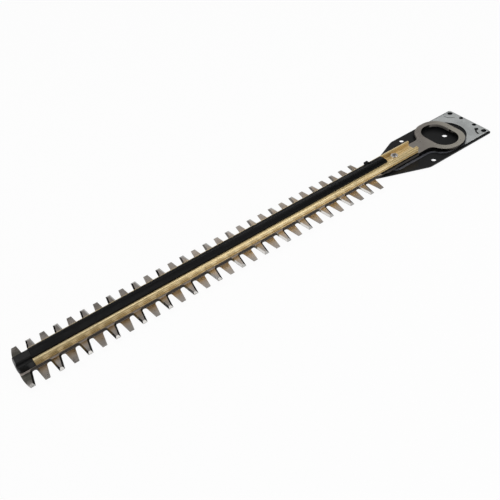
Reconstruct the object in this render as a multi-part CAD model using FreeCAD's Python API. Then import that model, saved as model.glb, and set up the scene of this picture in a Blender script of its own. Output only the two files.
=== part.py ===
import FreeCAD, Part
import math
import os

# Hedge trimmer blade: two toothed blades that slide under a guide bar, on a pressed base plate.
# Millimetres. The origin is on the pilot hole's axis, level with the lowest face of the base plate.
# +X runs from the nose to the drive end, +Z is up.

# Teeth
TEETH_PER_EDGE = 15
TOOTH_PITCH = 36.0
LAST_TOOTH_X = -159.7
TIP_HALF = 35.75
ROOT_HALF = 14.0
TOOTH_ROOT_W = 12.8
TOOTH_TIP_W = 6.1
GULLET_R = 3.0
BLADE_T = 2.0
EDGE_LAND = 0.4
BEVEL_W = 2.2
TIP_BEVEL_W = 3.4
NOSE_LENGTH = 6.9
NOSE_CORNER_R = 5.0

# Yoke at the drive end of each blade
YOKE_X = -11.6
YOKE_W = 59.0
YOKE_L = 76.6
YOKE_CORNER_R = 27.0
DRIVE_SLOT_W = 40.8
DRIVE_SLOT_L = 60.6
NECK_W = 26.6
NECK_FILLET_R = 11.0
NECK_TAPER = 18.0

# Travel and running room
TRAVEL = 10.0
RUNNING_GAP = 0.1
SLOT_SIDE_GAP = 0.3
SLOT_END_GAP = 0.5

# Bolts, nuts, washers and sleeves
BOLT_D = 6.0
BOLT_HOLE_GAP = 0.2
THREAD_GAP = 0.05
BOLT_HEAD_D = 13.0
BOLT_HEAD_T = 1.4
BOLT_END = 1.2
BOLT_END_CHAMFER = 0.8
NUT_AF = 10.0
NUT_H = 5.0
NUT_CHAMFER = 0.7
SLEEVE_D = 9.0
HEAD_WASHER_D = 16.0
WEAR_WASHER_D = 18.0
BLADE_BOLTS = 4
NOSE_BOLT_SET = 27.0
PLATE_BOLT_X = -103.7
PLATE_BOLT_PITCH = 36.0

# Base plate
PLATE_T = 2.0
PLATE_HALF = 41.7
PLATE_END_X = 53.4
PLATE_END_R = 2.0
KNEE_X = -71.2
KNEE_R = 15.0
TONGUE_TIP_HALF = 9.0
TONGUE_TIP_R = 4.0
TONGUE_EDGE = 8.0
FLANGE_HOLE_X = -57.1
FLANGE_HOLE_EDGE = 8.5
FLANGE_HOLE_D = 7.2
PILOT_D = 8.0

# Dish pressed into the base plate under the yokes
DISH_DEPTH = 1.4
DISH_SLOPE = 5.5
DISH_X = -10.0
DISH_W = 73.0
DISH_L = 75.0
DISH_CORNER_R = 28.0
DISH_NECK_W = 36.2
DISH_FILLET_R = 12.0
DISH_FRONT_X = -104.6
SEAT_D = 16.0
SEAT_SLOPE = 2.0

# End plate
END_PLATE_T = 1.6
END_PLATE_SIDE = 2.3
END_PLATE_LEDGE = 0.6
END_PLATE_R = 2.0
END_CUT_X = -0.8
END_CUT_R = 32.2
END_CUT_ANGLE = 53.0
CORNER_HOLE_END = 6.2
CORNER_HOLE_SIDE = 5.8
CORNER_HOLE_D = 7.8
SMALL_HOLE_END = 3.9
SMALL_HOLE_HALF = 12.9
SMALL_HOLE_D = 6.2
ARC_SLOT_R = 11.2
ARC_SLOT_W = 2.4
ARC_SLOT_FROM = 112.0
ARC_SLOT_TO = 184.0
ARC_SLOT_HEAD_D = 6.2
ARC_MARK_R = 12.2
ARC_MARK_W = 1.4
ARC_MARK_DEPTH = 0.8
ARC_MARK_FROM = 180.0
ARC_MARK_TO = 258.0
BLADE_OVER_END_PLATE = 0.3

# Guide bar
BAR_HALF = 12.0
BAR_H = 10.0
BAR_END_X = -67.5
BAR_FOOT_H = 1.2
BAR_FOOT_SET = 1.5
BAR_LIP_H = 1.6
BAR_GROOVE_H = 1.7
BAR_GROOVE_DEPTH = 0.6
BAR_EDGE_R = 2.0
CHANNEL_HALF = 8.0
CHANNEL_DEPTH = 7.0

# Cover strip
STRIP_END_X = -124.3
STRIP_FIT = 0.15
STRIP_WALL = 1.6
STRIP_SIDE = 2.4
STRIP_CROWN = 1.4
LUG_X = -152.0
LUG_LENGTH = 6.0
LUG_REACH = 4.0
LUG_HEIGHT = 3.2
LUG_NOTCH = 2.4

# Tip cap
CAP_LENGTH = 20.9
CAP_OVER = 0.6
CAP_FIT = 0.1
CAP_HALF = 11.4
CAP_DRAFT = 0.8
CAP_EDGE = 0.6
CAP_CORNER_R = 5.0
CAP_SHOULDER_H = 9.2
CAP_RIB_HALF = 5.0
CAP_RIB_DRAFT = 0.5
CAP_RIB_H = 4.0
CAP_SLOPE = 2.5
CAP_SLOPE_H = 8.0
PLUG_LENGTH = 6.0
PLUG_GAP = 0.3
PLUG_H = 5.0

# Room that a cutting tool runs past the face it cuts
CUT = 1.0

V = FreeCAD.Vector
UP = V(0, 0, 1)
ALONG = V(1, 0, 0)

# Levels, from the underside of the dish upwards
FLANGE_BOTTOM_Z = DISH_DEPTH
FLANGE_TOP_Z = FLANGE_BOTTOM_Z + PLATE_T
END_PLATE_TOP_Z = FLANGE_TOP_Z + END_PLATE_T
LOWER_BLADE_Z = END_PLATE_TOP_Z + BLADE_OVER_END_PLATE
UPPER_BLADE_Z = LOWER_BLADE_Z + BLADE_T + RUNNING_GAP
BAR_Z = UPPER_BLADE_Z + BLADE_T + RUNNING_GAP
CHANNEL_Z = BAR_Z + BAR_H - CHANNEL_DEPTH
BAR_TOP_Z = BAR_Z + BAR_H
STRIP_SIDE_Z = BAR_TOP_Z + STRIP_SIDE
STRIP_TOP_Z = STRIP_SIDE_Z + STRIP_CROWN
CAP_TOP_Z = BAR_Z + CAP_SHOULDER_H + CAP_RIB_H

# Places along the blade
HALF_PITCH = TOOTH_PITCH / 2
TEETH = 2 * TEETH_PER_EDGE
FIRST_TOOTH_X = LAST_TOOTH_X - (TEETH - 1) * HALF_PITCH
NOSE_X = FIRST_TOOTH_X - NOSE_LENGTH
CAP_X = NOSE_X - CAP_OVER
CAP_END_X = CAP_X + CAP_LENGTH
BAR_START_X = CAP_END_X + CAP_FIT
STRIP_HALF = CHANNEL_HALF - STRIP_FIT
NOSE_BOLT_X = FIRST_TOOTH_X + NOSE_BOLT_SET
PLATE_BOLTS_X = [PLATE_BOLT_X, PLATE_BOLT_X - PLATE_BOLT_PITCH]
BOLT_STEP = (PLATE_BOLTS_X[-1] - NOSE_BOLT_X) / BLADE_BOLTS
BLADE_BOLTS_X = [NOSE_BOLT_X + i * BOLT_STEP for i in range(BLADE_BOLTS)]
BOLTS_X = BLADE_BOLTS_X + PLATE_BOLTS_X

# Places on the plates, from their edges
FLANGE_HOLE_HALF = PLATE_HALF - FLANGE_HOLE_EDGE
END_PLATE_HALF = PLATE_HALF - END_PLATE_SIDE
END_PLATE_END_X = PLATE_END_X - END_PLATE_LEDGE
CORNER_HOLE_X = END_PLATE_END_X - CORNER_HOLE_END
CORNER_HOLE_HALF = END_PLATE_HALF - CORNER_HOLE_SIDE
SMALL_HOLE_X = END_PLATE_END_X - SMALL_HOLE_END


class Outline:
    """A closed flat outline, drawn from point to point in straight and round runs."""

    def __init__(self, x, y, z=0.0):
        self.start = V(x, y, z)
        self.here = self.start
        self.edges = []

    def line(self, x, y):
        there = V(x, y, self.start.z)
        if there.distanceToPoint(self.here) > 1e-6:
            self.edges.append(Part.LineSegment(self.here, there).toShape())
        self.here = there

    def arc(self, cx, cy, x, y):
        """Round run of less than half a turn about (cx, cy)."""
        there = V(x, y, self.start.z)
        centre = V(cx, cy, self.start.z)
        out = (self.here + there) * 0.5 - centre
        middle = centre + out.normalize() * centre.distanceToPoint(there)
        self.edges.append(Part.Arc(self.here, middle, there).toShape())
        self.here = there

    def wire(self):
        self.line(self.start.x, self.start.y)
        return Part.Wire(self.edges)

    def solid(self, height):
        return Part.Face(self.wire()).extrude(UP * height)


def rounded_plate(corners, z, height):
    """Plate whose corners (x, y, radius) are rounded."""
    count = len(corners)
    points = [V(corner[0], corner[1], z) for corner in corners]
    runs = []
    for i in range(count):
        here, radius = points[i], corners[i][2]
        back = (points[i - 1] - here).normalize()
        ahead = (points[(i + 1) % count] - here).normalize()
        half = back.getAngle(ahead) / 2
        first = here + back * (radius / math.tan(half))
        last = here + ahead * (radius / math.tan(half))
        centre = here + (back + ahead).normalize() * (radius / math.sin(half))
        runs.append((first, centre, last))
    outline = Outline(runs[0][2].x, runs[0][2].y, z)
    for first, centre, last in runs[1:] + runs[:1]:
        outline.line(first.x, first.y)
        outline.arc(centre.x, centre.y, last.x, last.y)
    return outline.solid(height)


def cylinder(x, y, z, diameter, height):
    return Part.makeCylinder(diameter / 2, height, V(x, y, z))


def ring(x, z, outer_d, inner_d, height):
    return cylinder(x, 0, z, outer_d, height).cut(cylinder(x, 0, z, inner_d, height))


def stadium_x(x, half_width, length, z, height):
    """Round-ended slot that runs along X."""
    run = length / 2 - half_width
    outline = Outline(x - run, -half_width, z)
    outline.line(x + run, -half_width)
    outline.arc(x + run, 0, x + run + half_width, 0)
    outline.arc(x + run, 0, x + run, half_width)
    outline.line(x - run, half_width)
    outline.arc(x - run, 0, x - run - half_width, 0)
    outline.arc(x - run, 0, x - run, -half_width)
    return outline.solid(height)


def profile_bar(points, x0, x1):
    """Bar along X from a section given as (y, z) points."""
    corners = [V(x0, y, z) for y, z in points]
    return Part.Face(Part.makePolygon(corners + corners[:1])).extrude(ALONG * (x1 - x0))


# Blades

def tooth_x(k):
    return FIRST_TOOTH_X + k * HALF_PITCH


def yoke_runs(outline, neck_half, x, half_w, half_l, corner_r, fillet_r):
    """Runs from the far side of a neck round a yoke to the near side of the neck."""
    left, right, cy = x - half_w + corner_r, x + half_w - corner_r, half_l - corner_r
    rise = neck_half + fillet_r - cy
    fillet_x = left - math.sqrt((corner_r + fillet_r) ** 2 - rise ** 2)
    fillet_y = neck_half + fillet_r
    share = corner_r / (corner_r + fillet_r)
    meet_x = left + (fillet_x - left) * share
    meet_y = cy + rise * share
    outline.line(fillet_x, neck_half)
    outline.arc(fillet_x, fillet_y, meet_x, meet_y)
    outline.arc(left, cy, left, half_l)
    outline.line(right, half_l)
    outline.arc(right, cy, x + half_w, cy)
    outline.line(x + half_w, -cy)
    outline.arc(right, -cy, right, -half_l)
    outline.line(left, -half_l)
    outline.arc(left, -cy, meet_x, -meet_y)
    outline.arc(fillet_x, -fillet_y, fillet_x, -neck_half)


def blade_blank():
    """Blade outline before its gaps are cut: nose, two bands of teeth, body, neck and yoke."""
    far_start, far_end, near_end = tooth_x(0), tooth_x(TEETH), tooth_x(TEETH - 1)
    body_end = tooth_x(TEETH + 1)
    tip_x = FIRST_TOOTH_X - TOOTH_TIP_W / 2
    run, set_back = TIP_HALF - ROOT_HALF, tip_x - NOSE_X
    flank_r = (run ** 2 + set_back ** 2) / (2 * set_back)
    outline = Outline(NOSE_X, -ROOT_HALF)
    outline.line(NOSE_X, ROOT_HALF - NOSE_CORNER_R)
    corner_x = NOSE_X + NOSE_CORNER_R
    outline.arc(corner_x, ROOT_HALF - NOSE_CORNER_R, corner_x, ROOT_HALF)
    outline.line(far_start, ROOT_HALF)
    outline.line(far_start, TIP_HALF)
    outline.line(far_end, TIP_HALF)
    outline.line(far_end, ROOT_HALF)
    outline.line(body_end, ROOT_HALF)
    outline.line(body_end + NECK_TAPER, NECK_W / 2)
    yoke_runs(outline, NECK_W / 2, YOKE_X, YOKE_W / 2, YOKE_L / 2, YOKE_CORNER_R, NECK_FILLET_R)
    outline.line(body_end + NECK_TAPER, -NECK_W / 2)
    outline.line(body_end, -ROOT_HALF)
    outline.line(near_end, -ROOT_HALF)
    outline.line(near_end, -TIP_HALF)
    outline.line(tip_x, -TIP_HALF)
    outline.arc(NOSE_X + flank_r, -ROOT_HALF, NOSE_X, -ROOT_HALF)
    return outline.solid(BLADE_T)


def gap_wire(grow, z):
    """Outline of the gap between two teeth, grown outwards, with its mouth towards +Y."""
    root_y, mouth_y = ROOT_HALF - grow, TIP_HALF + CUT
    root_x = (TOOTH_PITCH - TOOTH_ROOT_W) / 2
    tip_x = (TOOTH_PITCH - TOOTH_TIP_W) / 2
    flank = V(tip_x - root_x, TIP_HALF - ROOT_HALF, 0).normalize()
    on_flank = V(root_x, ROOT_HALF, 0) + V(flank.y, -flank.x, 0) * grow
    corner_x = on_flank.x + flank.x / flank.y * (root_y - on_flank.y)
    mouth_x = on_flank.x + flank.x / flank.y * (mouth_y - on_flank.y)
    radius = GULLET_R + grow
    reach = radius / math.tan(flank.getAngle(V(-1, 0, 0)) / 2)
    foot_x, centre_y = corner_x - reach, root_y + radius
    rise_x, rise_y = corner_x + flank.x * reach, root_y + flank.y * reach
    outline = Outline(-mouth_x, mouth_y, z)
    outline.line(-rise_x, rise_y)
    outline.arc(-foot_x, centre_y, -foot_x, root_y)
    outline.line(foot_x, root_y)
    outline.arc(foot_x, centre_y, rise_x, rise_y)
    outline.line(mouth_x, mouth_y)
    return outline.wire()


def gap_cutter():
    """Gap with an upright land at the cutting edge below and ground bevels above."""
    land = Part.Face(gap_wire(0, -CUT)).extrude(UP * (EDGE_LAND + CUT))
    bevel_h = BLADE_T - EDGE_LAND
    grow = BEVEL_W * (bevel_h + CUT) / bevel_h
    bevel = Part.makeLoft([gap_wire(0, EDGE_LAND), gap_wire(grow, BLADE_T + CUT)], True, True)
    return land.fuse(bevel)


def tip_cutter():
    """Wedge that grinds the bevel on the far row of tooth tips."""
    bevel_h = BLADE_T - EDGE_LAND
    over = TIP_BEVEL_W * CUT / bevel_h
    points = [(TIP_HALF - TIP_BEVEL_W - over, BLADE_T + CUT), (TIP_HALF, EDGE_LAND)]
    points += [(TIP_HALF + CUT, EDGE_LAND), (TIP_HALF + CUT, BLADE_T + CUT)]
    return profile_bar(points, NOSE_X - CUT, tooth_x(TEETH) + CUT)


def blade():
    """One blade lying on z = 0 with its cutting edges below and its bevels above."""
    gap, tip = gap_cutter(), tip_cutter()
    cutters = [tip, tip.mirror(V(0, 0, 0), V(0, 1, 0))]
    for k in range(0, TEETH + 1, 2):
        cutters.append(gap.translated(V(tooth_x(k), 0, 0)))
    near_gap = gap.mirror(V(0, 0, 0), V(0, 1, 0))
    for k in range(1, TEETH + 1, 2):
        cutters.append(near_gap.translated(V(tooth_x(k), 0, 0)))
    slot_length = SLEEVE_D + 2 * (TRAVEL + SLOT_END_GAP)
    slot_half = SLEEVE_D / 2 + SLOT_SIDE_GAP
    for x in BOLTS_X:
        cutters.append(stadium_x(x, slot_half, slot_length, -CUT, BLADE_T + 2 * CUT))
    drive_slot = stadium_x(0, DRIVE_SLOT_W / 2, DRIVE_SLOT_L, -CUT, BLADE_T + 2 * CUT)
    drive_slot.rotate(V(0, 0, 0), UP, 90)
    cutters.append(drive_slot.translated(V(YOKE_X, 0, 0)))
    return blade_blank().cut(cutters)


def upper_blade():
    return blade().translated(V(0, 0, UPPER_BLADE_Z))


def lower_blade():
    """The same stamping turned over about its long axis."""
    turned = blade()
    turned.rotate(V(0, 0, 0), ALONG, 180)
    return turned.translated(V(0, 0, LOWER_BLADE_Z + BLADE_T))


# Plates

def dish_wire(inset, z):
    """Outline of the dish, moved inwards."""
    neck_half, front_x = DISH_NECK_W / 2 - inset, DISH_FRONT_X
    outline = Outline(front_x, neck_half, z)
    yoke_runs(outline, neck_half, DISH_X, DISH_W / 2 - inset, DISH_L / 2 - inset,
              DISH_CORNER_R - inset, DISH_FILLET_R + inset)
    outline.line(front_x, -neck_half)
    outline.arc(front_x, 0, front_x - neck_half, 0)
    outline.arc(front_x, 0, front_x, neck_half)
    return outline.wire()


def dish(z):
    """Solid of the dish, from its rim at z down to its floor."""
    return Part.makeLoft([dish_wire(DISH_SLOPE, z - DISH_DEPTH), dish_wire(0, z)], True, True)


def seat(z):
    """Raised seat for the plate bolt that stands in the dish, up to z."""
    foot_r = SEAT_D / 2 + SEAT_SLOPE
    return Part.makeCone(foot_r, SEAT_D / 2, DISH_DEPTH, V(PLATE_BOLT_X, 0, z - DISH_DEPTH))


def base_plate():
    tip_x = PLATE_BOLTS_X[-1] - TONGUE_EDGE
    corners = [(tip_x, -TONGUE_TIP_HALF, TONGUE_TIP_R), (KNEE_X, -PLATE_HALF, KNEE_R)]
    corners += [(PLATE_END_X, -PLATE_HALF, PLATE_END_R), (PLATE_END_X, PLATE_HALF, PLATE_END_R)]
    corners += [(KNEE_X, PLATE_HALF, KNEE_R), (tip_x, TONGUE_TIP_HALF, TONGUE_TIP_R)]
    sheet = rounded_plate(corners, FLANGE_BOTTOM_Z, PLATE_T)
    pressed = sheet.fuse(dish(FLANGE_BOTTOM_Z).cut(seat(FLANGE_BOTTOM_Z)))
    pressed = pressed.cut(dish(FLANGE_TOP_Z).cut(seat(FLANGE_TOP_Z)))
    hole_d = BOLT_D + 2 * BOLT_HOLE_GAP
    holes = [cylinder(x, 0, -CUT, hole_d, FLANGE_TOP_Z + 2 * CUT) for x in PLATE_BOLTS_X]
    holes.append(cylinder(0, 0, -CUT, PILOT_D, FLANGE_TOP_Z + 2 * CUT))
    for y in (-FLANGE_HOLE_HALF, FLANGE_HOLE_HALF):
        holes.append(cylinder(FLANGE_HOLE_X, y, -CUT, FLANGE_HOLE_D, FLANGE_TOP_Z + 2 * CUT))
    return pressed.cut(holes).removeSplitter()


def arc_slot(y, radius, width, start, end, z, height):
    """Round slot about a corner hole of the end plate, between two angles in degrees."""
    inner, outer = radius - width / 2, radius + width / 2
    first, last = [V(math.cos(math.radians(a)), math.sin(math.radians(a)), 0) for a in (start, end)]
    x = CORNER_HOLE_X
    outline = Outline(x + first.x * inner, y + first.y * inner, z)
    outline.arc(x, y, x + last.x * inner, y + last.y * inner)
    outline.line(x + last.x * outer, y + last.y * outer)
    outline.arc(x, y, x + first.x * outer, y + first.y * outer)
    return outline.solid(height)


def end_plate_arcs():
    """Round slot with a wide head about the near corner hole, stamped mark about the far one."""
    angle = math.radians(ARC_SLOT_FROM)
    head_x = CORNER_HOLE_X + ARC_SLOT_R * math.cos(angle)
    head_y = ARC_SLOT_R * math.sin(angle) - CORNER_HOLE_HALF
    slot = arc_slot(-CORNER_HOLE_HALF, ARC_SLOT_R, ARC_SLOT_W, ARC_SLOT_FROM, ARC_SLOT_TO,
                    FLANGE_TOP_Z, END_PLATE_T)
    head = cylinder(head_x, head_y, FLANGE_TOP_Z, ARC_SLOT_HEAD_D, END_PLATE_T)
    mark = arc_slot(CORNER_HOLE_HALF, ARC_MARK_R, ARC_MARK_W, ARC_MARK_FROM, ARC_MARK_TO,
                    END_PLATE_TOP_Z - ARC_MARK_DEPTH, ARC_MARK_DEPTH)
    return [slot, head, mark]


def end_plate():
    """Plate on the rear of the base plate, cut out round the yokes."""
    angle = math.radians(END_CUT_ANGLE)
    touch_x = END_CUT_X + END_CUT_R * math.cos(angle)
    touch_y = END_CUT_R * math.sin(angle)
    start_x = touch_x - (END_PLATE_HALF - touch_y) * math.tan(angle)
    round_x, round_y = END_PLATE_END_X - END_PLATE_R, END_PLATE_HALF - END_PLATE_R
    outline = Outline(start_x, END_PLATE_HALF, FLANGE_TOP_Z)
    outline.line(touch_x, touch_y)
    outline.arc(END_CUT_X, 0, touch_x, -touch_y)
    outline.line(start_x, -END_PLATE_HALF)
    outline.line(round_x, -END_PLATE_HALF)
    outline.arc(round_x, -round_y, END_PLATE_END_X, -round_y)
    outline.line(END_PLATE_END_X, round_y)
    outline.arc(round_x, round_y, round_x, END_PLATE_HALF)
    cutters = end_plate_arcs()
    for y in (-CORNER_HOLE_HALF, CORNER_HOLE_HALF):
        cutters.append(cylinder(CORNER_HOLE_X, y, FLANGE_TOP_Z, CORNER_HOLE_D, END_PLATE_T))
    for y in (-SMALL_HOLE_HALF, SMALL_HOLE_HALF):
        cutters.append(cylinder(SMALL_HOLE_X, y, FLANGE_TOP_Z, SMALL_HOLE_D, END_PLATE_T))
    return outline.solid(END_PLATE_T).cut(cutters)


# Guide bar, strip and cap

def mirrored_bar(section, x0, x1):
    """Bar along X from the far half of its section, drawn as (y, z) from the middle outwards."""
    half = section.solid(x1 - x0)
    half.rotate(V(0, 0, 0), V(1, 1, 1), 120)
    half = half.translated(V(x0, 0, 0))
    return half.fuse(half.mirror(V(0, 0, 0), V(0, 1, 0))).removeSplitter()


def bar_section():
    """Far half of the bar's section: foot, lip, groove, face, rounded edge and channel."""
    lip_z = BAR_Z + BAR_FOOT_H
    groove_z = lip_z + BAR_LIP_H
    face_z = groove_z + BAR_GROOVE_H
    round_y, round_z = BAR_HALF - BAR_EDGE_R, BAR_TOP_Z - BAR_EDGE_R
    foot, groove = BAR_HALF - BAR_FOOT_SET, BAR_HALF - BAR_GROOVE_DEPTH
    section = Outline(0, BAR_Z)
    points = [(foot, BAR_Z), (foot, lip_z), (BAR_HALF, lip_z), (BAR_HALF, groove_z)]
    points += [(groove, groove_z), (groove, face_z), (BAR_HALF, face_z), (BAR_HALF, round_z)]
    for y, z in points:
        section.line(y, z)
    section.arc(round_y, round_z, round_y, BAR_TOP_Z)
    section.line(CHANNEL_HALF, BAR_TOP_Z)
    section.line(CHANNEL_HALF, CHANNEL_Z)
    section.line(0, CHANNEL_Z)
    return section


def guide_bar():
    bar = mirrored_bar(bar_section(), BAR_START_X, BAR_END_X)
    hole_d = BOLT_D + 2 * BOLT_HOLE_GAP
    return bar.cut([cylinder(x, 0, BAR_Z - CUT, hole_d, BAR_H + 2 * CUT) for x in BOLTS_X])


def strip_solid(x0, x1, half, foot_z, side_z, top_z):
    """Straight-sided strip with a crowned top."""
    corners = [V(x0, -half, side_z), V(x0, -half, foot_z), V(x0, half, foot_z), V(x0, half, side_z)]
    crown = Part.Arc(corners[3], V(x0, 0, top_z), corners[0]).toShape()
    section = Part.Wire(Part.makePolygon(corners).Edges + [crown])
    return Part.Face(section).extrude(ALONG * (x1 - x0))


def cover_strip():
    """Hollow strip that stands on the channel's floor over the nuts, with a clip lug on its far side."""
    strip = strip_solid(BAR_START_X, STRIP_END_X, STRIP_HALF, CHANNEL_Z, STRIP_SIDE_Z, STRIP_TOP_Z)
    hollow = strip_solid(BAR_START_X - CUT, STRIP_END_X + CUT, STRIP_HALF - STRIP_WALL, CHANNEL_Z - CUT,
                         STRIP_SIDE_Z - STRIP_WALL, STRIP_TOP_Z - STRIP_WALL)
    lug_y = STRIP_HALF - STRIP_WALL
    lug = Part.makeBox(LUG_LENGTH, STRIP_WALL + LUG_REACH, LUG_HEIGHT, V(LUG_X, lug_y, BAR_TOP_Z))
    notch = cylinder(LUG_X + LUG_LENGTH / 2, lug_y - LUG_NOTCH, STRIP_SIDE_Z - STRIP_WALL, LUG_NOTCH,
                     2 * STRIP_WALL + STRIP_CROWN)
    return strip.cut(hollow).fuse(lug).cut(notch).removeSplitter()


def cap_section():
    """Far half of the cap's section: a leaning side, a shoulder and a rib along the middle."""
    shoulder_z = BAR_Z + CAP_SHOULDER_H
    shoulder = CAP_HALF - CAP_DRAFT
    section = Outline(0, BAR_Z)
    points = [(CAP_HALF, BAR_Z), (shoulder, shoulder_z - CAP_EDGE), (shoulder - CAP_EDGE, shoulder_z)]
    points += [(CAP_RIB_HALF + CAP_RIB_DRAFT, shoulder_z), (CAP_RIB_HALF, CAP_TOP_Z), (0, CAP_TOP_Z)]
    for y, z in points:
        section.line(y, z)
    return section


def tip_cap():
    """Moulded nose in line with the bar, with a plug that pushes into the end of the strip."""
    round_x, round_y = CAP_X + CAP_CORNER_R, CAP_HALF - CAP_CORNER_R
    plan = Outline(CAP_END_X, -CAP_HALF, BAR_Z)
    plan.line(CAP_END_X, CAP_HALF)
    plan.line(round_x, CAP_HALF)
    plan.arc(round_x, round_y, CAP_X, round_y)
    plan.line(CAP_X, -round_y)
    plan.arc(round_x, -round_y, round_x, -CAP_HALF)
    body = mirrored_bar(cap_section(), CAP_X, CAP_END_X).common(plan.solid(CAP_TOP_Z - BAR_Z))
    slope_z, side = CAP_TOP_Z - CAP_SLOPE_H, CAP_HALF + CUT
    points = [(CAP_X - CUT, slope_z), (CAP_X, slope_z), (CAP_X + CAP_SLOPE, CAP_TOP_Z)]
    points += [(CAP_X + CAP_SLOPE, CAP_TOP_Z + CUT), (CAP_X - CUT, CAP_TOP_Z + CUT)]
    corners = [V(x, -side, z) for x, z in points]
    slope = Part.Face(Part.makePolygon(corners + corners[:1])).extrude(V(0, 2 * side, 0))
    body = body.cut(slope)
    plug_half = STRIP_HALF - STRIP_WALL - PLUG_GAP
    plug = Part.makeBox(PLUG_LENGTH + CUT, 2 * plug_half, PLUG_H, V(CAP_END_X - CUT, -plug_half, CHANNEL_Z))
    return body.fuse(plug).removeSplitter()


# Fasteners

def bolt(x):
    """Low round head under the plate or washer, plain shank up through the nut."""
    head = cylinder(x, 0, 0, BOLT_HEAD_D, BOLT_HEAD_T)
    end_z = CHANNEL_Z + NUT_H + BOLT_END
    shank = cylinder(x, 0, BOLT_HEAD_T, BOLT_D, end_z - BOLT_END_CHAMFER - BOLT_HEAD_T)
    point = Part.makeCone(BOLT_D / 2, BOLT_D / 2 - BOLT_END_CHAMFER, BOLT_END_CHAMFER,
                          V(x, 0, end_z - BOLT_END_CHAMFER))
    return head.fuse([shank, point]).removeSplitter()


def nut(x):
    """Hexagon nut with turned corners, on the channel's floor."""
    corner_r = NUT_AF / math.sqrt(3)
    corners = [V(x + corner_r * math.cos(math.radians(a)), corner_r * math.sin(math.radians(a)), CHANNEL_Z)
               for a in range(30, 391, 60)]
    blank = Part.Face(Part.makePolygon(corners)).extrude(UP * NUT_H)
    turned = Part.makeCone(corner_r + NUT_H, corner_r - NUT_CHAMFER, NUT_H + NUT_CHAMFER,
                           V(x, 0, CHANNEL_Z - NUT_CHAMFER))
    thread_d = BOLT_D + 2 * THREAD_GAP
    return blank.common(turned).cut(cylinder(x, 0, CHANNEL_Z, thread_d, NUT_H))


def sleeve(x):
    return ring(x, FLANGE_TOP_Z, SLEEVE_D, BOLT_D + 2 * BOLT_HOLE_GAP, BAR_Z - FLANGE_TOP_Z)


def wear_washer(x):
    height = LOWER_BLADE_Z - RUNNING_GAP - FLANGE_TOP_Z
    return ring(x, FLANGE_TOP_Z, WEAR_WASHER_D, SLEEVE_D + 2 * BOLT_HOLE_GAP, height)


def head_washer(x):
    return ring(x, BOLT_HEAD_T, HEAD_WASHER_D, BOLT_D + 2 * BOLT_HOLE_GAP, FLANGE_TOP_Z - BOLT_HEAD_T)


def group(make, places):
    return Part.makeCompound([make(x) for x in places])


def main():
    nodes = {
        "base_plate": base_plate(),
        "end_plate": end_plate(),
        "upper_blade": upper_blade(),
        "lower_blade": lower_blade(),
        "guide_bar": guide_bar(),
        "cover_strip": cover_strip(),
        "tip_cap": tip_cap(),
        "blade_bolts": group(bolt, BOLTS_X),
        "bolt_nuts": group(nut, BOLTS_X),
        "spacer_sleeves": group(sleeve, BOLTS_X),
        "wear_washers": group(wear_washer, BOLTS_X),
        "head_washers": group(head_washer, BLADE_BOLTS_X),
    }
    os.makedirs("parts", exist_ok=True)
    for name, shape in nodes.items():
        shape.exportStep(os.path.join("parts", name + ".step"))
        print(name, "solids", len(shape.Solids), "valid", shape.isValid(), "volume", round(shape.Volume, 1))


main()
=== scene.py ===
"""Dresses the hedge trimmer blade: finishes for every piece, studio and camera."""

import logging
import math
from abc import ABC, abstractmethod
from dataclasses import dataclass, field
from enum import Enum

import bmesh
import bpy
from mathutils import Matrix, Vector


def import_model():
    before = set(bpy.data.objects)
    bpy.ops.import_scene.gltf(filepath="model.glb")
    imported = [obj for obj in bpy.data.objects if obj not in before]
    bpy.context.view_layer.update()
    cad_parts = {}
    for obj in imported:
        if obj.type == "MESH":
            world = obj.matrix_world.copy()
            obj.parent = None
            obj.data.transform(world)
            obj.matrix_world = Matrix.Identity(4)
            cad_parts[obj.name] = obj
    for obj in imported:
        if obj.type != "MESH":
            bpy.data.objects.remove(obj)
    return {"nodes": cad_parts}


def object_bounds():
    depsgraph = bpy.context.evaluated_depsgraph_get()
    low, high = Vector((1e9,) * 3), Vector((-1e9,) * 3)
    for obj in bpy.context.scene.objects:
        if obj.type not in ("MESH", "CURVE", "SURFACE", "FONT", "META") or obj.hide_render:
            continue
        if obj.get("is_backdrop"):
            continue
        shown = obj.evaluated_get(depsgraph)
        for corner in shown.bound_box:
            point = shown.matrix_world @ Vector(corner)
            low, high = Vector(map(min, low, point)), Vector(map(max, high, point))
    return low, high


LOG = logging.getLogger("hedge_trimmer_blade")

Colour = tuple[float, float, float]
Triple = tuple[float, float, float]
Socket = bpy.types.NodeSocket
Value = Socket | float | Colour

MM = 0.001
WELD_MM = 0.002
EDGE_SEGMENTS = 2
EDGE_ANGLE = math.radians(32)
HALF_DIAGONAL = math.sqrt(0.5)


class Grain(Enum):
    """Direction that a finish was drawn, ground or brushed in, as texture cells per metre."""

    ALONG_X = (25.0, 2600.0, 2600.0)
    ALONG_Y = (2600.0, 25.0, 2600.0)
    EVEN = (1500.0, 1500.0, 1500.0)


@dataclass(frozen=True)
class Span:
    """Two ends of a range."""

    low: float
    high: float


@dataclass(frozen=True)
class Noise:
    """Noise texture in object space: cells per metre, octaves and the weight of the finer octaves."""

    cells: Triple
    detail: float
    roughness: float = 0.55


RISE = Span(0.0, 1.0)
FALL = Span(1.0, 0.0)
# Most values of a noise texture lie in these ranges.
NOISE_MIDDLE = Span(0.3, 0.7)
NOISE_CORE = Span(0.35, 0.65)
NOISE_MEAN = 0.5


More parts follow.
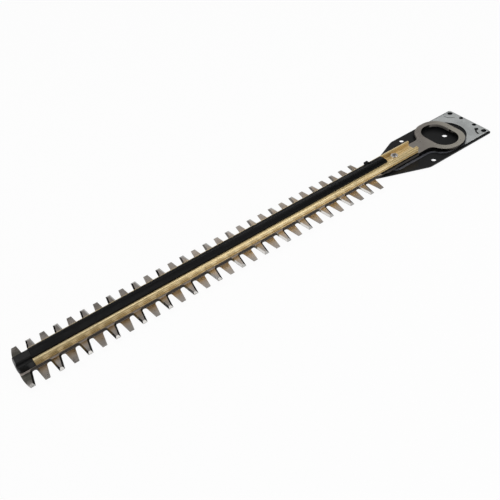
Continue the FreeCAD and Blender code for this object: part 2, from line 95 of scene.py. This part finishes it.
class Graph:
    """Node graph of a material or of the world, with short calls for what they share."""

    def __init__(self, owner: bpy.types.Material | bpy.types.World) -> None:
        """Starts on the owner's nodes with its coordinates.

        Args:
            owner: Material or world to add to.
        """
        owner.use_nodes = True
        self.owner = owner
        self.nodes = owner.node_tree.nodes
        self.links = owner.node_tree.links
        coordinates = self.nodes.new("ShaderNodeTexCoord")
        self.place = coordinates.outputs["Object"]
        self.facing = coordinates.outputs["Normal"]
        self.heading = coordinates.outputs["Generated"]

    @classmethod
    def of_material(cls, name: str) -> "Graph":
        """Starts a new material.

        Args:
            name: Name of the material.

        Returns:
            Its graph.
        """
        return cls(bpy.data.materials.new(name))

    def plug(self, value: Value, socket: Socket) -> None:
        """Links a socket, or sets a plain value.

        Args:
            value: Output socket, number or colour.
            socket: Input socket that takes it.
        """
        if isinstance(value, bpy.types.NodeSocket):
            self.links.new(value, socket)
        elif isinstance(value, tuple):
            socket.default_value = (*value, 1.0) if socket.type == "RGBA" else value
        else:
            socket.default_value = value

    def axes(self, vector: Socket) -> list[Socket]:
        """Splits a vector.

        Args:
            vector: Vector socket.

        Returns:
            Its x, y and z sockets.
        """
        split = self.nodes.new("ShaderNodeSeparateXYZ")
        self.links.new(vector, split.inputs[0])
        return list(split.outputs)

    def scaled(self, cells: Triple) -> Socket:
        """Object coordinates stretched to texture cells.

        Args:
            cells: Cells per metre along X, Y and Z.

        Returns:
            The stretched vector.
        """
        stretch = self.nodes.new("ShaderNodeVectorMath")
        stretch.operation = "MULTIPLY"
        self.links.new(self.place, stretch.inputs[0])
        stretch.inputs[1].default_value = cells
        return stretch.outputs[0]

    def noise(self, noise: Noise) -> Socket:
        """Noise in object space.

        Args:
            noise: Its grain.

        Returns:
            A value from 0 to 1.
        """
        texture = self.nodes.new("ShaderNodeTexNoise")
        texture.inputs["Scale"].default_value = 1.0
        texture.inputs["Detail"].default_value = noise.detail
        texture.inputs["Roughness"].default_value = noise.roughness
        self.links.new(self.scaled(noise.cells), texture.inputs["Vector"])
        return texture.outputs[0]

    def crystals(self, cells: Triple) -> Socket:
        """Flat crystal cells in object space.

        Args:
            cells: Cells per metre along X, Y and Z.

        Returns:
            One random value for each cell.
        """
        texture = self.nodes.new("ShaderNodeTexVoronoi")
        texture.inputs["Scale"].default_value = 1.0
        self.links.new(self.scaled(cells), texture.inputs["Vector"])
        return self.axes(texture.outputs["Color"])[0]

    def math(self, operation: str, first: Value, second: Value = 0.0) -> Socket:
        """One sum.

        Args:
            operation: Name of the operation.
            first: First value.
            second: Second value.

        Returns:
            The result.
        """
        node = self.nodes.new("ShaderNodeMath")
        node.operation = operation
        self.plug(first, node.inputs[0])
        self.plug(second, node.inputs[1])
        return node.outputs[0]

    def times(self, *factors: Value) -> Socket:
        """Product of two or more values.

        Args:
            factors: Values to multiply.

        Returns:
            The product.
        """
        product = factors[0]
        for factor in factors[1:]:
            product = self.math("MULTIPLY", product, factor)
        return product

    def rest(self, share: Value) -> Socket:
        """What a share leaves of 1."""
        return self.math("SUBTRACT", 1.0, share)

    def mixed(self, first: Value, second: Value, first_share: float) -> Socket:
        """Weighted sum of two values.

        Args:
            first: First value.
            second: Second value.
            first_share: Weight of the first, with the rest of 1 for the second.

        Returns:
            The sum.
        """
        return self.math("ADD", self.times(first, first_share), self.times(second, 1.0 - first_share))

    def ramp(self, value: Value, step: Span, out: Span = RISE) -> Socket:
        """Smooth step from one range to another.

        Args:
            value: Value to map.
            step: Where the step starts and ends.
            out: Results below and above the step.

        Returns:
            The mapped value.
        """
        node = self.nodes.new("ShaderNodeMapRange")
        node.interpolation_type = "SMOOTHSTEP"
        node.inputs["From Min"].default_value = step.low
        node.inputs["From Max"].default_value = step.high
        node.inputs["To Min"].default_value = out.low
        node.inputs["To Max"].default_value = out.high
        self.plug(value, node.inputs["Value"])
        return node.outputs["Result"]

    def ramp_mm(self, place: Value, step_mm: Span, out: Span = RISE) -> Socket:
        """Smooth step between two places.

        Args:
            place: Coordinate.
            step_mm: Where the step starts and ends, in millimetres.
            out: Results before and after the step.

        Returns:
            The mapped value.
        """
        return self.ramp(place, Span(step_mm.low * MM, step_mm.high * MM), out)

    def between_mm(self, place: Value, range_mm: Span) -> Socket:
        """Tests whether a coordinate lies in a range.

        Args:
            place: Coordinate.
            range_mm: Range in millimetres.

        Returns:
            1 inside the range, 0 outside.
        """
        above = self.math("GREATER_THAN", place, range_mm.low * MM)
        below = self.math("LESS_THAN", place, range_mm.high * MM)
        return self.times(above, below)

    def blend(self, share: Value, first: Value, second: Value) -> Socket:
        """Mixes two colours.

        Args:
            share: Share of the second colour.
            first: First colour.
            second: Second colour.

        Returns:
            The mixed colour.
        """
        node = self.nodes.new("ShaderNodeMix")
        node.data_type = "RGBA"
        self.plug(share, node.inputs["Factor"])
        self.plug(first, node.inputs["A"])
        self.plug(second, node.inputs["B"])
        return node.outputs["Result"]

    def bump(self, height: Socket, depth_mm: float) -> Socket:
        """Relief from a height.

        Args:
            height: Height from 0 to 1.
            depth_mm: Depth of the relief.

        Returns:
            The new normal.
        """
        node = self.nodes.new("ShaderNodeBump")
        node.inputs["Distance"].default_value = depth_mm * MM
        self.links.new(height, node.inputs["Height"])
        return node.outputs[0]

    def surface(self, colour: Value, roughness: Value, normal: Socket | None, metallic: Value,
                gloss: float = 0.5) -> bpy.types.Material:
        """Joins the shader's sockets.

        Args:
            colour: Base colour.
            roughness: Roughness.
            normal: Normal, where there is relief.
            metallic: 1 for bare metal, 0 for paint and plastic.
            gloss: Level of the clear reflection on paint and plastic.

        Returns:
            The finished material.
        """
        sockets = self.nodes["Principled BSDF"].inputs
        self.plug(colour, sockets["Base Color"])
        self.plug(roughness, sockets["Roughness"])
        self.plug(metallic, sockets["Metallic"])
        sockets["Specular IOR Level"].default_value = gloss
        if normal is not None:
            self.links.new(normal, sockets["Normal"])
        return self.owner


@dataclass(frozen=True)
class Finish(ABC):
    """One finish of the part."""

    name: str

    @abstractmethod
    def material(self) -> bpy.types.Material:
        """Makes the material."""


@dataclass(frozen=True)
class MouldedBlack(Finish):
    """Satin black moulding with a fine eroded grain and pale rub marks."""

    colour: Colour = (0.0035, 0.0037, 0.0039)
    rubbed: Colour = (0.013, 0.0135, 0.014)
    rub_marks: Noise = Noise(Grain.ALONG_X.value, 5.0, 0.7)
    rub_step: Span = Span(0.58, 0.78)
    rub_share: Span = Span(0.0, 0.6)
    blotches: Noise = Noise((60.0, 90.0, 90.0), 3.0)
    sheen: Span = Span(0.36, 0.50)
    erosion: Noise = Noise((2800.0, 2800.0, 2800.0), 2.0)
    erosion_mm: float = 0.035
    gloss: float = 0.1

    def material(self) -> bpy.types.Material:
        """Makes the moulded material."""
        graph = Graph.of_material(self.name)
        rub = graph.ramp(graph.noise(self.rub_marks), self.rub_step, self.rub_share)
        colour = graph.blend(rub, self.colour, self.rubbed)
        roughness = graph.ramp(graph.noise(self.blotches), NOISE_MIDDLE, self.sheen)
        normal = graph.bump(graph.noise(self.erosion), self.erosion_mm)
        return graph.surface(colour, roughness, normal, 0.0, self.gloss)


@dataclass(frozen=True)
class CoatedPlate(Finish):
    """Black coating on pressed steel: orange peel, hairline scuffs and a painted highlight on the dish
    slopes that face +Y.
    """

    colour: Colour = (0.0065, 0.0068, 0.0073)
    scuffed: Colour = (0.03, 0.031, 0.034)
    slope_highlight: Colour = (0.16, 0.165, 0.188)
    hairlines: Noise = Noise((18.0, 1900.0, 600.0), 3.0, 0.6)
    hairline_step: Span = Span(0.66, 0.76)
    patches: Noise = Noise((28.0, 28.0, 28.0), 4.0)
    scuff_step: Span = Span(0.5, 0.68)
    slope_upright: Span = Span(0.9, 0.94)
    slope_inward: Span = Span(0.1, 0.2)
    highlight_step: Span = Span(0.25, 0.6)
    highlight_share: Span = Span(0.45, 1.0)
    sheen: Span = Span(0.30, 0.46)
    peel: Noise = Noise((420.0, 420.0, 420.0), 2.0)
    peel_mm: float = 0.03
    gloss: float = 0.25

    def material(self) -> bpy.types.Material:
        """Makes the coated material."""
        graph = Graph.of_material(self.name)
        patch = graph.noise(self.patches)
        hairline = graph.ramp(graph.noise(self.hairlines), self.hairline_step)
        scuff = graph.times(hairline, graph.ramp(patch, self.scuff_step))
        colour = graph.blend(scuff, self.colour, self.scuffed)
        _, inward, upright = graph.axes(graph.facing)
        # Painted highlight: the dish slopes that face +Y are lightened, in patches.
        slope = graph.times(graph.ramp(upright, self.slope_upright), graph.ramp(inward, self.slope_inward))
        patchy_sheen = graph.times(slope, graph.ramp(patch, self.highlight_step, self.highlight_share))
        colour = graph.blend(patchy_sheen, colour, self.slope_highlight)
        roughness = graph.ramp(patch, NOISE_MIDDLE, self.sheen)
        normal = graph.bump(graph.noise(self.peel), self.peel_mm)
        return graph.surface(colour, roughness, normal, 0.0, self.gloss)


@dataclass(frozen=True)
class GalvanisedSteel(Finish):
    """Zinc-coated sheet: faint crystal cells, brushed haze, a few grey smudges and painted shade on the cut
    edges.
    """

    bright: Colour = (0.67, 0.69, 0.685)
    dull: Colour = (0.51, 0.53, 0.525)
    edge_shade: Colour = (0.02, 0.02, 0.021)
    crystal_cells: Triple = (520.0, 520.0, 520.0)
    crystal_share: float = 0.4
    smudges: Noise = Noise((45.0, 45.0, 45.0), 5.0, 0.6)
    smudge_step: Span = Span(0.42, 0.68)
    edge_step: Span = Span(0.5, 0.8)
    haze: Noise = Noise(Grain.ALONG_Y.value, 3.0)
    haze_step: Span = Span(0.4, 1.4)
    sheen: Span = Span(0.38, 0.58)
    dimples: Noise = Noise((900.0, 900.0, 900.0), 3.0)
    dimple_mm: float = 0.02
    metallic: float = 0.6

    def material(self) -> bpy.types.Material:
        """Makes the galvanised material."""
        graph = Graph.of_material(self.name)
        crystal = graph.crystals(self.crystal_cells)
        smudge = graph.ramp(graph.noise(self.smudges), self.smudge_step)
        colour = graph.blend(graph.mixed(crystal, smudge, self.crystal_share), self.bright, self.dull)
        upright = graph.math("ABSOLUTE", graph.axes(graph.facing)[2])
        # Painted shade: the upright cut edges are darkened nearly to black.
        colour = graph.blend(graph.ramp(upright, self.edge_step, FALL), colour, self.edge_shade)
        brushed = graph.math("ADD", graph.noise(self.haze), crystal)
        roughness = graph.ramp(brushed, self.haze_step, self.sheen)
        normal = graph.bump(graph.noise(self.dimples), self.dimple_mm)
        return graph.surface(colour, roughness, normal, self.metallic)


@dataclass(frozen=True)
class GoldAnodised(Finish):
    """Gold-anodised extrusion: die lines, painted shade in the grooves and on the channel walls, and painted
    shade on the flanks towards the nose.
    """

    gold: Colour = (0.74, 0.55, 0.25)
    pale: Colour = (0.95, 0.77, 0.44)
    groove_shade: Colour = (0.56, 0.40, 0.18)
    wall_shade: Colour = (0.56, 0.40, 0.17)
    shade: Colour = (0.5, 0.36, 0.16)
    die_lines: Noise = Noise((1.5, 480.0, 480.0), 2.0, 0.5)
    tones: Noise = Noise((9.0, 60.0, 60.0), 3.0)
    line_share: float = 0.85
    pale_step: Span = Span(0.38, 0.62)
    groove_across_mm: Span = Span(11.2, 11.8)
    groove_height_mm: Span = Span(12.2, 14.1)
    upright_step: Span = Span(0.7, 0.9)
    channel_reach_mm: float = 8.2
    shade_mm: Span = Span(-600.0, -380.0)
    shade_share: Span = Span(0.8, 0.0)
    sheen: Span = Span(0.19, 0.36)
    line_mm: float = 0.01
    metallic: float = 0.35
    gloss: float = 0.8

    def material(self) -> bpy.types.Material:
        """Makes the anodised material."""
        graph = Graph.of_material(self.name)
        along, across, height = graph.axes(graph.place)
        reach = graph.math("ABSOLUTE", across)
        lines = graph.noise(self.die_lines)
        share = graph.mixed(lines, graph.noise(self.tones), self.line_share)
        colour = graph.blend(graph.ramp(share, self.pale_step), self.gold, self.pale)
        # Painted shade in the recessed band along the outer faces.
        groove_shaded = graph.times(graph.between_mm(height, self.groove_height_mm),
                              graph.between_mm(reach, self.groove_across_mm))
        colour = graph.blend(groove_shaded, colour, self.groove_shade)
        upright = graph.ramp(graph.math("ABSOLUTE", graph.axes(graph.facing)[1]), self.upright_step)
        channel = graph.math("LESS_THAN", reach, self.channel_reach_mm * MM)
        # Painted shade on the upright inner faces of the channel.
        colour = graph.blend(graph.times(upright, channel), colour, self.wall_shade)
        to_nose = graph.ramp_mm(along, self.shade_mm, self.shade_share)
        colour = graph.blend(graph.times(upright, graph.rest(channel), to_nose), colour, self.shade)
        roughness = graph.ramp(lines, NOISE_MIDDLE, self.sheen)
        return graph.surface(colour, roughness, graph.bump(lines, self.line_mm), self.metallic, self.gloss)


@dataclass(frozen=True)
class BladeSteel(Finish):
    """Blade steel: tan lacquer near the bar, ground grey towards the tips and polished bevels.

    The land beside the bar is pale and matte along the teeth and painted black as shade past them. Upright
    faces, the gullet bevels and the flats at the nose carry painted shade, and the trailing flanks a painted
    dark reflection.
    """

    grey: Colour = (0.36, 0.33, 0.305)
    stain: Colour = (0.36, 0.285, 0.21)
    yoke: Colour = (0.40, 0.365, 0.33)
    yoke_pale: Colour = (0.72, 0.68, 0.59)
    bevel: Colour = (0.34, 0.33, 0.315)
    edge_shade: Colour = (0.05, 0.045, 0.04)
    land_colour: Colour = (0.44, 0.39, 0.35)
    nose_shade: Colour = (0.11, 0.105, 0.09)
    painted_black: Colour = (0.012, 0.011, 0.01)
    dull: Colour = (0.27, 0.25, 0.23)
    gullet_shade: Colour = (0.075, 0.068, 0.062)
    scratched: Colour = (0.62, 0.60, 0.57)
    blotches: Noise = Noise((70.0, 70.0, 70.0), 5.0, 0.6)
    scratches: Noise = Noise(Grain.ALONG_X.value, 3.0, 0.6)
    scratch_step: Span = Span(0.55, 0.75)
    scratch_share: Span = Span(0.0, 0.2)
    scratch_mm: float = 0.012
    stain_mm: Span = Span(24.0, 41.0)
    stain_drift_mm: float = 20.0
    stain_spread: float = 0.02
    teeth_end_mm: float = -140.0
    yoke_mm: Span = Span(-140.0, -100.0)
    yoke_pale_mm: Span = Span(-40.0, 20.0)
    nose_mm: Span = Span(-674.0, -664.0)
    nose_reach_mm: Span = Span(24.0, 34.0)
    nose_share: Span = Span(1.0, 0.3)
    bar_end_mm: float = -67.5
    land_mm: Span = Span(14.0, 14.8)
    gullet_mm: Span = Span(17.0, 19.0)
    gullet_outward: Span = Span(0.25, 0.35)
    flat_upright: Span = Span(0.92, 0.96)
    bevel_upright: Span = Span(0.3, 0.5)
    near_flank: Span = Span(0.3, 0.45)
    far_flank: Span = Span(-0.45, -0.3)
    fade_mm: Span = Span(-480.0, -400.0)
    sheen: Span = Span(0.24, 0.40)
    bevel_roughness: float = 0.16

    def material(self) -> bpy.types.Material:
        """Makes the blade material."""
        graph = Graph.of_material(self.name)
        along, across, _ = graph.axes(graph.place)
        reach = graph.math("ABSOLUTE", across)
        sideways, outward, height = graph.axes(graph.facing)
        upright = graph.math("ABSOLUTE", height)
        blotch = graph.noise(self.blotches)
        scratch = graph.noise(self.scratches)
        under_bar = graph.math("LESS_THAN", along, self.bar_end_mm * MM)

        flat = self.lacquered(graph, along, across, reach, blotch)
        flat = graph.blend(graph.ramp(scratch, self.scratch_step, self.scratch_share), flat, self.scratched)
        # The land beside the bar is pale and matte along the teeth; past the last tooth it is painted black
        # as shade.
        land_share = graph.times(graph.ramp_mm(reach, self.land_mm, FALL), under_bar)
        toothed = graph.math("LESS_THAN", along, self.teeth_end_mm * MM)
        flat = graph.blend(land_share, flat, graph.blend(toothed, self.painted_black, self.land_colour))

        sloped = graph.ramp(upright, self.flat_upright, FALL)
        # Painted shade: upright faces are darkened nearly to black.
        ground = graph.blend(graph.ramp(upright, self.bevel_upright), self.edge_shade, self.bevel)
        colour = graph.blend(sloped, flat, ground)
        # Painted shade on the gullet bevels beside the bar.
        outward = graph.ramp(graph.math("ABSOLUTE", outward), self.gullet_outward)
        gullet_shaded = graph.times(sloped, graph.ramp_mm(reach, self.gullet_mm, FALL), under_bar, outward)
        colour = graph.blend(gullet_shaded, colour, self.gullet_shade)
        # Painted dark reflection on the trailing flanks, fading to grey on the far flanks towards the drive
        # end.
        trailing, flank_reflection = self.painted_flank_reflection(graph, along, across, sideways)
        flank_painted = graph.times(sloped, trailing)
        colour = graph.blend(flank_painted, colour, flank_reflection)

        patchy_sheen = graph.ramp(blotch, NOISE_MIDDLE, self.sheen)
        roughness = graph.math("ADD", graph.times(sloped, self.bevel_roughness),
                               graph.times(graph.rest(sloped), patchy_sheen))
        non_metal_share = graph.math("MAXIMUM", land_share, graph.math("MAXIMUM", flank_painted, gullet_shaded))
        normal = graph.bump(scratch, self.scratch_mm)
        return graph.surface(colour, roughness, normal, graph.rest(non_metal_share), 0.0)

    def lacquered(self, graph: Graph, along: Socket, across: Socket, reach: Socket,
                  blotch: Socket) -> Socket:
        """Colour of the flat faces: lacquer on the teeth, a yoke paler towards its near drive-end side and
        painted shade from the cap at the nose.

        Args:
            graph: Graph of the material.
            along: Place along the blade.
            across: Place across the blade.
            reach: Distance from the blade's middle line.
            blotch: Noise that makes the lacquer's edge uneven.

        Returns:
            The colour.
        """
        drift = graph.times(graph.math("SUBTRACT", blotch, NOISE_MEAN), self.stain_drift_mm * MM)
        drift = graph.math("SUBTRACT", drift, graph.times(along, self.stain_spread))
        stained = graph.ramp_mm(graph.math("ADD", reach, drift), self.stain_mm, FALL)
        colour = graph.blend(stained, self.grey, self.stain)
        # The yoke is paler towards its near, drive-end side.
        diagonal = graph.times(graph.math("SUBTRACT", along, across), HALF_DIAGONAL)
        yoke = graph.blend(graph.ramp_mm(diagonal, self.yoke_pale_mm), self.yoke, self.yoke_pale)
        colour = graph.blend(graph.ramp_mm(along, self.yoke_mm), colour, yoke)
        # Painted shade from the cap on the flats at the nose.
        inner = graph.ramp_mm(reach, self.nose_reach_mm, self.nose_share)
        return graph.blend(graph.times(graph.ramp_mm(along, self.nose_mm, FALL), inner), colour, self.nose_shade)

    def painted_flank_reflection(self, graph: Graph, along: Socket, across: Socket,
                   sideways: Socket) -> tuple[Socket, Socket]:
        """Painted dark reflection on the near flanks that face the drive end and the far flanks that face
        the nose.

        Args:
            graph: Graph of the material.
            along: Place along the blade.
            across: Place across the blade.
            sideways: How far the face looks to the drive end.

        Returns:
            The share of the painted reflection, and its colour.
        """
        near = graph.math("LESS_THAN", across, 0.0)
        near_share = graph.times(near, graph.ramp(sideways, self.near_flank))
        far_share = graph.times(graph.rest(near), graph.ramp(sideways, self.far_flank, FALL))
        faded = graph.ramp_mm(along, self.fade_mm)
        flank_reflection = graph.blend(graph.times(far_share, faded), self.painted_black, self.dull)
        return graph.math("ADD", near_share, far_share), flank_reflection


@dataclass(frozen=True)
class ZincPlate(Finish):
    """Bright zinc plate with a faint straw tint and dull handling marks."""

    bright: Colour = (0.88, 0.88, 0.88)
    straw: Colour = (0.72, 0.66, 0.62)
    tints: Noise = Noise((160.0, 160.0, 160.0), 4.0)
    sheen: Span = Span(0.16, 0.36)
    marks: Noise = Noise(Grain.EVEN.value, 3.0)
    mark_mm: float = 0.015

    def material(self) -> bpy.types.Material:
        """Makes the zinc material."""
        graph = Graph.of_material(self.name)
        tint = graph.noise(self.tints)
        colour = graph.blend(graph.ramp(tint, NOISE_CORE), self.bright, self.straw)
        roughness = graph.ramp(tint, NOISE_MIDDLE, self.sheen)
        return graph.surface(colour, roughness, graph.bump(graph.noise(self.marks), self.mark_mm), 1.0)


@dataclass(frozen=True)
class TurnedSteel(Finish):
    """Hardened steel with turning marks."""

    light: Colour = (0.52, 0.52, 0.51)
    dark: Colour = (0.36, 0.35, 0.34)
    marks: Noise = Noise((300.0, 300.0, 4000.0), 3.0)
    sheen: Span = Span(0.24, 0.42)
    mark_mm: float = 0.02

    def material(self) -> bpy.types.Material:
        """Makes the turned material."""
        graph = Graph.of_material(self.name)
        marks = graph.noise(self.marks)
        colour = graph.blend(graph.ramp(marks, NOISE_CORE), self.light, self.dark)
        roughness = graph.ramp(marks, NOISE_MIDDLE, self.sheen)
        return graph.surface(colour, roughness, graph.bump(marks, self.mark_mm), 1.0)


def dress(node: bpy.types.Object, finish: bpy.types.Material, edge_mm: float) -> None:
    """Gives a piece its finish and softened edges.

    Args:
        node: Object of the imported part.
        finish: Material for all its faces.
        edge_mm: Width of the softened edges, or 0 to leave them sharp.
    """
    node.data.materials.clear()
    node.data.materials.append(finish)
    weld = node.modifiers.new("join_faces", "WELD")
    weld.merge_threshold = WELD_MM * MM
    if edge_mm > 0:
        bevel = node.modifiers.new("soft_edges", "BEVEL")
        bevel.width = edge_mm * MM
        bevel.segments = EDGE_SEGMENTS
        bevel.limit_method = "ANGLE"
        bevel.angle_limit = EDGE_ANGLE
        bevel.harden_normals = True
    LOG.info("dressed %s with %s", node.name, finish.name)


@dataclass
class SubAssembly(ABC):
    """A group of pieces that is dressed together."""

    nodes: dict[str, bpy.types.Object]

    @abstractmethod
    def dress(self) -> None:
        """Gives the pieces their finishes."""


@dataclass
class Plates(SubAssembly):
    """Base plate and end plate."""

    coating: Finish = field(default_factory=lambda: CoatedPlate("black_coating"))
    zinc: Finish = field(default_factory=lambda: GalvanisedSteel("galvanised_sheet"))
    edge_mm: float = 0.25

    def dress(self) -> None:
        """Dresses both plates."""
        dress(self.nodes["base_plate"], self.coating.material(), self.edge_mm)
        dress(self.nodes["end_plate"], self.zinc.material(), self.edge_mm)


@dataclass
class Cutters(SubAssembly):
    """Upper and lower blade."""

    upper: Finish = field(default_factory=lambda: BladeSteel("upper_blade_finish"))
    lower: Finish = field(default_factory=lambda: BladeSteel(
        "lower_blade_finish", stain_mm=Span(24.0, 46.0)))

    def dress(self) -> None:
        """Dresses both blades and leaves their cutting edges sharp."""
        dress(self.nodes["upper_blade"], self.upper.material(), 0.0)
        dress(self.nodes["lower_blade"], self.lower.material(), 0.0)


@dataclass
class Guide(SubAssembly):
    """Guide bar, cover strip and tip cap."""

    gold: Finish = field(default_factory=lambda: GoldAnodised("gold_anodised"))
    strip: Finish = field(default_factory=lambda: MouldedBlack("strip_moulding"))
    cap: Finish = field(default_factory=lambda: MouldedBlack(
        "cap_moulding", sheen=Span(0.34, 0.48), gloss=0.35))
    bar_edge_mm: float = 0.45
    moulded_edge_mm: float = 0.35

    def dress(self) -> None:
        """Dresses the bar and its mouldings."""
        dress(self.nodes["guide_bar"], self.gold.material(), self.bar_edge_mm)
        dress(self.nodes["cover_strip"], self.strip.material(), self.moulded_edge_mm)
        dress(self.nodes["tip_cap"], self.cap.material(), self.moulded_edge_mm)


@dataclass
class Fastenings(SubAssembly):
    """Bolts, nuts, sleeves and washers."""

    zinc: Finish = field(default_factory=lambda: ZincPlate("zinc_plate"))
    oiled: Finish = field(default_factory=lambda: ZincPlate(
        "oiled_zinc_plate", bright=(0.30, 0.29, 0.28), straw=(0.16, 0.15, 0.13)))
    turned: Finish = field(default_factory=lambda: TurnedSteel("turned_finish"))
    edge_mm: float = 0.15

    def dress(self) -> None:
        """Dresses the fasteners."""
        zinc, turned = self.zinc.material(), self.turned.material()
        dress(self.nodes["blade_bolts"], self.oiled.material(), self.edge_mm)
        for name in ("bolt_nuts", "head_washers"):
            dress(self.nodes[name], zinc, self.edge_mm)
        for name in ("spacer_sleeves", "wear_washers"):
            dress(self.nodes[name], turned, self.edge_mm)


@dataclass(frozen=True)
class Softbox:
    """Flat studio light that faces the part, with its sizes in metres."""

    name: str
    direction: Triple
    distance: float
    width: float
    depth: float
    radiance: float

    def build(self, target: Vector) -> None:
        """Hangs the light.

        Args:
            target: Point that it faces.
        """
        data = bpy.data.lights.new(self.name, "AREA")
        data.shape = "RECTANGLE"
        data.size, data.size_y = self.width, self.depth
        data.energy = math.pi * self.width * self.depth * self.radiance
        lamp = bpy.data.objects.new(self.name, data)
        bpy.context.scene.collection.objects.link(lamp)
        away = Vector(self.direction).normalized()
        lamp.location = target + away * self.distance
        lamp.rotation_mode = "QUATERNION"
        lamp.rotation_quaternion = (-away).to_track_quat("-Z", "Y")


@dataclass
class Studio:
    """Pale floor, soft light and the camera at the photograph's view, in metres and degrees."""

    target: Triple = (-0.37077, -0.01458, 0.0069)
    distance: float = 0.8263
    azimuth: float = -27.231
    elevation: float = 43.398
    roll: float = -9.798
    lens: float = 45.317
    clip: Span = Span(0.01, 50.0)
    floor_size: float = 12.0
    floor_gap: float = 0.0003
    floor_colour: Colour = (0.88, 0.88, 0.88)
    floor_pale: Colour = (0.89, 0.89, 0.89)
    floor_tones: Noise = Noise((2.0, 2.0, 2.0), 2.0)
    floor_roughness: float = 0.9
    floor_white: float = 0.95
    back_step: Span = Span(-0.25, 0.35)
    back_light: Span = Span(0.06, 0.42)
    right_step: Span = Span(0.62, 0.72)
    left_step: Span = Span(-0.475, -0.445)
    side_light: float = 0.08
    nose_step: Span = Span(-0.05, 0.3)
    nose_light: float = 0.5
    horizon: Span = Span(0.1, 0.15)
    lights: tuple[Softbox, ...] = (
        Softbox("overhead_softbox", (-0.05, 0.09, 0.994), 2.0, 1.0, 1.4, 2.2),
        Softbox("overhead_right_softbox", (0.43, 0.0, 0.903), 2.0, 0.9, 1.0, 1.2),
        Softbox("front_softbox", (0.4, -0.8, 0.45), 1.65, 1.5, 1.2, 2.2),
        Softbox("back_left_softbox", (-0.48, 0.45, 0.753), 2.2, 1.12, 1.12, 2.0),
        Softbox("back_softbox", (0.36, 0.64, 0.68), 2.2, 0.9, 0.9, 0.75),
    )

    def build(self, floor_z: float) -> None:
        """Builds floor, world, lights and camera.

        Args:
            floor_z: Lowest level of the part.
        """
        self.build_floor(floor_z - self.floor_gap)
        self.build_walls()
        for light in self.lights:
            light.build(Vector(self.target))
        self.build_camera()
        bpy.context.scene.view_settings.view_transform = "Standard"

    def build_walls(self) -> None:
        """Sets the room's light: pale behind the part, dim to its sides, white at the horizon."""
        world = bpy.data.worlds.new("studio")
        graph = Graph(world)
        x, y, z = graph.axes(graph.heading)
        back = graph.ramp(y, self.back_step, self.back_light)
        right = graph.ramp(x, self.right_step, Span(1.0, self.side_light))
        left = graph.ramp(x, self.left_step, Span(self.side_light, 1.0))
        nose = graph.ramp(x, self.nose_step, Span(self.nose_light, 1.0))
        high = graph.ramp(z, self.horizon)
        strength = graph.math("ADD", graph.times(back, right, left, nose, high), graph.rest(high))
        background = graph.nodes["Background"]
        background.inputs["Color"].default_value = (1.0, 1.0, 1.0, 1.0)
        graph.links.new(strength, background.inputs["Strength"])
        bpy.context.scene.world = world

    def build_floor(self, level: float) -> None:
        """Lays the floor.

        Args:
            level: Height of the floor.
        """
        mesh = bpy.data.meshes.new("studio_floor")
        sheet = bmesh.new()
        bmesh.ops.create_grid(sheet, x_segments=1, y_segments=1, size=self.floor_size / 2)
        sheet.to_mesh(mesh)
        sheet.free()
        floor = bpy.data.objects.new("studio_floor", mesh)
        floor.location = (self.target[0], self.target[1], level)
        mesh.materials.append(self.floor_material())
        bpy.context.scene.collection.objects.link(floor)
        floor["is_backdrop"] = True

    def floor_material(self) -> bpy.types.Material:
        """Makes white paper that keeps a faint shadow where it is seen.

        Returns:
            The floor's material.
        """
        graph = Graph.of_material("floor_paper")
        tone = graph.ramp(graph.noise(self.floor_tones), NOISE_MIDDLE)
        colour = graph.blend(tone, self.floor_colour, self.floor_pale)
        graph.surface(colour, self.floor_roughness, None, 0.0, 0.0)
        path = graph.nodes.new("ShaderNodeLightPath")
        seen = graph.math("ADD", path.outputs["Is Camera Ray"], path.outputs["Is Glossy Ray"])
        seen = graph.math("MINIMUM", graph.math("ADD", seen, path.outputs["Is Transmission Ray"]), 1.0)
        white = graph.nodes.new("ShaderNodeEmission")
        mix = graph.nodes.new("ShaderNodeMixShader")
        graph.links.new(graph.times(seen, self.floor_white), mix.inputs["Fac"])
        graph.links.new(graph.nodes["Principled BSDF"].outputs["BSDF"], mix.inputs[1])
        graph.links.new(white.outputs["Emission"], mix.inputs[2])
        graph.links.new(mix.outputs["Shader"], graph.nodes["Material Output"].inputs["Surface"])
        return graph.owner

    def build_camera(self) -> None:
        """Sets the camera at the photograph's view."""
        data = bpy.data.cameras.new("photo_camera")
        data.lens = self.lens
        data.clip_start, data.clip_end = self.clip.low, self.clip.high
        camera = bpy.data.objects.new("photo_camera", data)
        bpy.context.scene.collection.objects.link(camera)
        azimuth, elevation, roll = (math.radians(a) for a in (self.azimuth, self.elevation, self.roll))
        flat = math.cos(elevation)
        back = Vector((math.sin(azimuth) * flat, -math.cos(azimuth) * flat, math.sin(elevation)))
        right = Vector((0.0, 0.0, 1.0)).cross(back).normalized()
        up = back.cross(right)
        turned_right = right * math.cos(roll) + up * math.sin(roll)
        turned_up = up * math.cos(roll) - right * math.sin(roll)
        place = Matrix((turned_right, turned_up, back)).transposed().to_4x4()
        place.translation = Vector(self.target) + back * self.distance
        camera.matrix_world = place
        bpy.context.scene.camera = camera


def main() -> None:
    """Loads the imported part, dresses it and sets the studio."""
    logging.basicConfig(level=logging.INFO)
    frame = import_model()
    cad_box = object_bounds()
    nodes = frame["nodes"]
    for group in (Plates(nodes), Cutters(nodes), Guide(nodes), Fastenings(nodes)):
        group.dress()
    Studio().build(cad_box[0].z)


if __name__ == "__main__":
    main()
